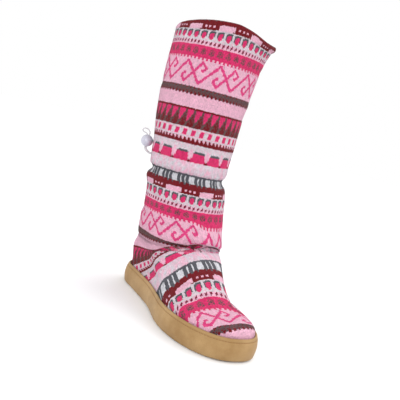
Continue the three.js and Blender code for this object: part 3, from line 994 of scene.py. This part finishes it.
def make_sole(tree, thread_material):
    """The suede-covered sole with its rim, and the stitches that run round below it."""
    points, out, spine, around = plan_loop(tree, 12.0)
    rim_offset = side_offset(tree, points, out, 24.0)
    rim_top = level_at(tree, points + out * (rim_offset - 1.1)[:, None], False)
    rings = flat_rings(tree, points, out, spine, side_offset(tree, points, out, 3.0), True)[::-1]
    floor = rings[-1][:, 2]
    nearest = math.inf
    wave = ripple(STATIONS, 26, 0.35)
    for share in SIDE_SHARES:
        level = floor + (rim_top - floor) * share
        down = (rim_top - level) - STITCH_DOWN
        offset = side_offset(tree, points, out, level) + math.sin(math.pi * share) * wave
        offset -= GROOVE_DEPTH * np.exp(-(down / GROOVE_WIDTH) ** 2)
        rings.append(ring(points + out * offset[:, None], level))
        if np.abs(down).mean() < nearest:
            nearest = np.abs(down).mean()
            groove_offset = offset
    top_offset = side_offset(tree, points, out, rim_top - 0.9)
    for inset, drop in RIM_RINGS:
        rings.append(ring(points + out * (top_offset - inset)[:, None], rim_top - drop))
    piece = grid_mesh("sole_suede", closed(np.stack(rings)), suede_material())
    settle(piece, "sole")
    make_thread(points, out, groove_offset, rim_top - STITCH_DOWN, around, thread_material)


def make_thread(points, out, offset, level, around, material):
    """The stitches on the sole's side, each one a short capsule half sunk in its groove."""
    count = int(round(around / STITCH_PITCH))
    sides = 6
    stops = [(-1.15, 0.1), (-0.95, 0.27), (0.0, 0.34), (0.95, 0.27), (1.15, 0.1)]
    vertices = []
    faces = []
    for i in range(count):
        k = int(i * STATIONS / count)
        ahead = (k + 2) % STATIONS
        base = np.array([*(points[k] + out[k] * (offset[k] + 0.05)), level[k]])
        other = np.array([*(points[ahead] + out[ahead] * (offset[ahead] + 0.05)), level[ahead]])
        along = (other - base) / np.linalg.norm(other - base)
        away = np.array([*out[k], 0.0])
        up = np.cross(away, along)
        first = len(vertices)
        for reach, radius in stops:
            for turn in np.arange(sides) * 2 * math.pi / sides:
                round_it = away * math.cos(turn) + up * math.sin(turn)
                vertices.append((base + along * reach + round_it * radius) * MM)
        for r in range(len(stops) - 1):
            for t in range(sides):
                a = first + r * sides + t
                b = first + r * sides + (t + 1) % sides
                faces.append((a, b, b + sides, a + sides))
        faces.append(tuple(first + t for t in range(sides))[::-1])
        faces.append(tuple(first + (len(stops) - 1) * sides + t for t in range(sides)))
    mesh = bpy.data.meshes.new("sole_thread")
    mesh.from_pydata(vertices, [], faces)
    mesh.polygons.foreach_set("use_smooth", np.ones(len(faces), bool))
    mesh.materials.append(material)
    piece = add_object("sole_thread", mesh)
    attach(piece, "root")


def make_insole(tree):
    """The fleece insole on the tray's floor."""
    points, out, spine, _ = plan_loop(tree, 19.0)
    offset = side_offset(tree, points, out, 19.0)
    rings = flat_rings(tree, points, out, spine, offset, True)[::-1]
    for level in (17.4, 18.4, 19.6, 20.4):
        rings.append(ring(points + out * side_offset(tree, points, out, level)[:, None], level))
    rings += flat_rings(tree, points, out, spine, offset, False)
    n = Nodes("fleece")
    place = n.add("TexCoord").outputs["Object"]
    pile = n.noise(place, 420.0, 5.0)
    colour = n.mix(n.ramp(pile, 0.3, 0.7, 0.0, 1.0), (0.62, 0.57, 0.5, 1), (0.83, 0.8, 0.74, 1))
    n.shade(Base_Color=colour, Roughness=1.0, Specular_IOR_Level=0.1,
            Normal=n.bump(pile, 0.0016, 1.0))
    piece = grid_mesh("insole_fleece", closed(np.stack(rings)), n.material)
    settle(piece, "insole")


# The drawcord and its lock

CORD_TURN = math.radians(-117)
CORD_DIAMETER = 1.6
CORD_START = 49.93
CORD_HEIGHT = 172.0
LOCK_OUT = 58.6
LOCK_HEIGHT = 186.0
LOCK_RADIUS = 7.75
STRAND = 0.95


def cord_route():
    """The solid cord's route: out of the shaft, up through the lock, round a loop and back."""
    top = LOCK_HEIGHT + LOCK_RADIUS
    foot = LOCK_HEIGHT - LOCK_RADIUS
    route = [
        (CORD_START, -1.9, CORD_HEIGHT), (CORD_START + 2.4, -1.9, CORD_HEIGHT + 0.2),
        (LOCK_OUT - 2.6, -1.6, foot - 3.8), (LOCK_OUT - STRAND, -0.6, foot - 1.2),
        (LOCK_OUT - STRAND, 0, foot + 2), (LOCK_OUT - STRAND, 0, LOCK_HEIGHT),
        (LOCK_OUT - STRAND, 0, top - 1), (LOCK_OUT - 1.6, 0, top + 1.8),
        (LOCK_OUT - 0.6, 0, top + 4.8), (LOCK_OUT + 2.4, 0, top + 6.9),
        (LOCK_OUT + 6.4, 0, top + 6.7), (LOCK_OUT + 8.2, 0, top + 4.2),
        (LOCK_OUT + 6, 0, top + 2.3), (LOCK_OUT + 2.6, 0, top + 1.5),
        (LOCK_OUT + 1.1, 0, top - 0.8), (LOCK_OUT + STRAND, 0, top - 3.4),
        (LOCK_OUT + STRAND, 0, LOCK_HEIGHT), (LOCK_OUT + STRAND, 0, foot + 1),
        (LOCK_OUT + 0.6, 0.7, foot - 2), (LOCK_OUT - 1.2, 1.7, foot - 4.6),
        (CORD_START + 3, 1.9, CORD_HEIGHT - 0.6), (CORD_START, 1.9, CORD_HEIGHT - 1),
    ]
    x, y, z = np.array(route).T
    cos = math.cos(CORD_TURN)
    sin = math.sin(CORD_TURN)
    return np.stack([x * cos - y * sin, x * sin + y * cos, z], 1)


def centripetal(points, steps):
    """A centripetal Catmull-Rom curve through the points, as the solid cord has it."""
    ends = [2 * points[0] - points[1], *points, 2 * points[-1] - points[-2]]
    line = []
    for p0, p1, p2, p3 in zip(ends, ends[1:], ends[2:], ends[3:]):
        k0, k1, k2 = (np.linalg.norm(b - a) ** 0.5 for a, b in ((p0, p1), (p1, p2), (p2, p3)))
        t1 = ((p1 - p0) / k0 - (p2 - p0) / (k0 + k1) + (p2 - p1) / k1) * k1
        t2 = ((p2 - p1) / k1 - (p3 - p1) / (k1 + k2) + (p3 - p2) / k2) * k1
        square = 3 * (p2 - p1) - 2 * t1 - t2
        cube = 2 * (p1 - p2) + t1 + t2
        line += [p1 + t1 * t + square * t ** 2 + cube * t ** 3 for t in np.arange(steps) / steps]
    return np.array(line + [points[-1]])


def make_cord():
    """The drawcord with its loop, a soft round cord, and the glossy ball lock that it runs through."""
    line = centripetal(cord_route(), 6)
    curve = bpy.data.curves.new("drawcord_line", "CURVE")
    curve.dimensions = "3D"
    curve.bevel_depth = CORD_DIAMETER / 2 * MM
    curve.bevel_resolution = 3
    curve.use_fill_caps = True
    spline = curve.splines.new("POLY")
    spline.points.add(len(line) - 1)
    for point, place in zip(spline.points, line):
        point.co = (*(place * MM), 1)
    spline.use_smooth = True
    n = Nodes("cord")
    place = n.add("TexCoord").outputs["Object"]
    weave = n.noise(place, 1600.0, 3.0)
    n.shade(Base_Color=(*linear("#c9c7ca"), 1), Roughness=0.8, Specular_IOR_Level=0.2,
            Normal=n.bump(weave, 0.0003, 0.8))
    curve.materials.append(n.material)
    cord = add_object("drawcord_soft", curve)
    settle(cord, "drawcord")
    n = Nodes("lock")
    n.shade(Base_Color=(*linear("#b4b3c0"), 1), Metallic=0.1, Roughness=0.26,
            Coat_Weight=0.6, Coat_Roughness=0.08)
    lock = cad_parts["cord_lock"]
    lock.data.materials.clear()
    lock.data.materials.append(n.material)


# Floor and light, in metres and watts

FLOOR_HALF = 6.0
AIM = (0.03, 0, 0.16)
LAMPS = [
    ("key", (1.35, -1.0, 0.75), 1.0, 9.5),
    ("fill", (-0.5, -1.3, 0.9), 1.4, 3),
    ("inner", (0.9, 0.9, 0.7), 1.2, 4),
]


def add_lamp(name, kind, power, way):
    """A lamp that shines along a direction."""
    data = bpy.data.lights.new(name, kind)
    data.energy = power
    lamp = add_object(name, data)
    lamp.rotation_euler = way.to_track_quat("-Z", "Y").to_euler()
    return lamp


def make_stage():
    """A pale floor and soft studio light."""
    corners = [(-1, -1), (1, -1), (1, 1), (-1, 1)]
    mesh = bpy.data.meshes.new("floor")
    mesh.from_pydata([(x * FLOOR_HALF, y * FLOOR_HALF, 0) for x, y in corners], [], [(0, 1, 2, 3)])
    floor = add_object("floor", mesh)
    n = Nodes("floor")
    n.shade(Base_Color=(0.86, 0.868, 0.88, 1), Roughness=0.9, Specular_IOR_Level=0.0)
    mesh.materials.append(n.material)
    world = bpy.data.worlds.new("studio")
    world.use_nodes = True
    background = world.node_tree.nodes["Background"]
    background.inputs["Color"].default_value = (1, 1, 1, 1)
    background.inputs["Strength"].default_value = 1.0
    bpy.context.scene.world = world
    bpy.context.scene.view_settings.view_transform = "Standard"
    for name, place, size, power in LAMPS:
        lamp = add_lamp(name, "AREA", power, Vector(AIM) - Vector(place))
        lamp.location = place
        lamp.data.size = size
    overhead = add_lamp("overhead", "SUN", 1.1, Vector((0.15, -0.75, -1.0)))
    overhead.data.angle = math.radians(50)


# The whole scene

make_camera()
make_cord()
upper_tree = tree_of("upper")
make_knit(upper_tree)
make_lining(upper_tree)
thread = Nodes("thread")
thread.shade(Base_Color=(*linear("#8a6236"), 1), Roughness=0.8)
make_sole(tree_of("sole"), thread.material)
make_insole(tree_of("insole"))
make_stage()
